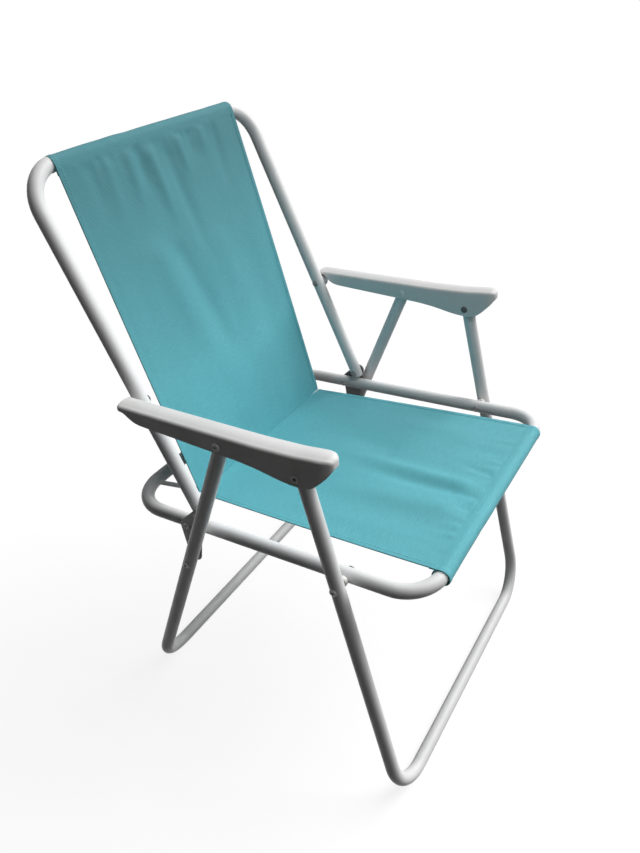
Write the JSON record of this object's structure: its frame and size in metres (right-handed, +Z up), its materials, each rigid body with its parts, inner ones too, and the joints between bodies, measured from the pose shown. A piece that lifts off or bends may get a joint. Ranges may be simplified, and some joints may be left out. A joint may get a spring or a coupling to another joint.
{
  "type": "folding sling lawn chair",
  "caption": "Folding lawn chair: a round tube frame on hinged links with channel armrests, triangular brackets and a mesh sling seat and back.",
  "frame": {"origin": "on the floor, below the middle of the open chair's outer box", "axes": "+X across the chair, +Y to the back, +Z up; the sitter faces -Y"},
  "size_m": [0.5896, 0.6732, 0.9054],
  "materials": {
    "tube_paint": "light grey gloss paint on round tube",
    "armrest_plastic": "light grey moulded plastic, slightly satin",
    "bracket_steel": "plated stamped sheet",
    "rivet_steel": "bright plated rivet heads",
    "nylon": "plain washers, spacers and plugs",
    "sling_mesh": "turquoise coated open mesh weave, slightly see-through"
  },
  "bodies": {
    "back": {"back_tube": "tube_paint", "post_plug_left": "nylon", "post_plug_right": "nylon"},
    "armrests": {"armrest_left": "armrest_plastic", "armrest_right": "armrest_plastic", "rivet_armrest_front_leg_left": "rivet_steel", "rivet_armrest_front_leg_right": "rivet_steel", "rivet_armrest_post_left": "rivet_steel", "rivet_armrest_post_right": "rivet_steel", "rivet_armrest_rear_leg_left": "rivet_steel", "rivet_armrest_rear_leg_right": "rivet_steel", "washer_armrest_post_left": "nylon", "washer_armrest_post_right": "nylon", "washer_front_leg_inner_left": "nylon", "washer_front_leg_inner_right": "nylon", "washer_front_leg_outer_left": "nylon", "washer_front_leg_outer_right": "nylon", "washer_rear_leg_inner_left": "nylon", "washer_rear_leg_inner_right": "nylon", "washer_rear_leg_outer_left": "nylon", "washer_rear_leg_outer_right": "nylon"},
    "rear_legs": {"rear_leg_tube": "tube_paint", "rivet_rear_leg_left": "rivet_steel", "rivet_rear_leg_right": "rivet_steel"},
    "front_legs": {"front_leg_tube": "tube_paint", "rivet_front_leg_left": "rivet_steel", "rivet_front_leg_right": "rivet_steel"},
    "brackets": {"bracket_left": "bracket_steel", "bracket_right": "bracket_steel", "rivet_bracket_dish_left": "rivet_steel", "rivet_bracket_dish_right": "rivet_steel", "rivet_bracket_post_left": "rivet_steel", "rivet_bracket_post_right": "rivet_steel", "rivet_bracket_rail_left": "rivet_steel", "rivet_bracket_rail_right": "rivet_steel"},
    "seat": {"rivet_rail_left": "rivet_steel", "rivet_rail_right": "rivet_steel", "seat_tube": "tube_paint", "sling_seat": "sling_mesh", "spacer_rail_left": "nylon", "spacer_rail_right": "nylon", "tie_rod": "tube_paint"},
    "sling_back": {"sling_back": "sling_mesh"}
  },
  "joints": [
    {"name": "fold", "type": "hinge", "parent": "back", "child": "armrests", "pos_m": [0, 0.161, 0.5915], "axis": [-1, 0, 0], "range_deg": [0, 116.66]},
    {"name": "bracket_turn", "type": "hinge", "parent": "back", "child": "brackets", "pos_m": [0, 0.068, 0.4195], "axis": [-1, 0, 0], "range_deg": [0, 201.97]},
    {"name": "seat_turn", "type": "hinge", "parent": "brackets", "child": "seat", "pos_m": [0, 0.09, 0.3905], "axis": [1, 0, 0], "range_deg": [0, 94.65]},
    {"name": "rear_leg_turn", "type": "hinge", "parent": "armrests", "child": "rear_legs", "pos_m": [0, -0.0095, 0.6065], "axis": [1, 0, 0], "range_deg": [0, 65.3]},
    {"name": "front_leg_turn", "type": "hinge", "parent": "armrests", "child": "front_legs", "pos_m": [0, -0.133, 0.607], "axis": [1, 0, 0], "range_deg": [0, 91.36]},
    {"name": "sling_turn", "type": "hinge", "parent": "back", "child": "sling_back", "pos_m": [0, 0.32381, 0.8926], "axis": [-1, 0, 0], "range_deg": [0, 8.34]}
  ],
  "couplings": [
    {"joint": "bracket_turn", "follows": "fold", "ratio": 1.7312},
    {"joint": "seat_turn", "follows": "fold", "ratio": 0.81125},
    {"joint": "rear_leg_turn", "follows": "fold", "ratio": 0.55965},
    {"joint": "front_leg_turn", "follows": "fold", "ratio": 0.78309},
    {"joint": "sling_turn", "follows": "fold", "ratio": 0.071487}
  ]
}
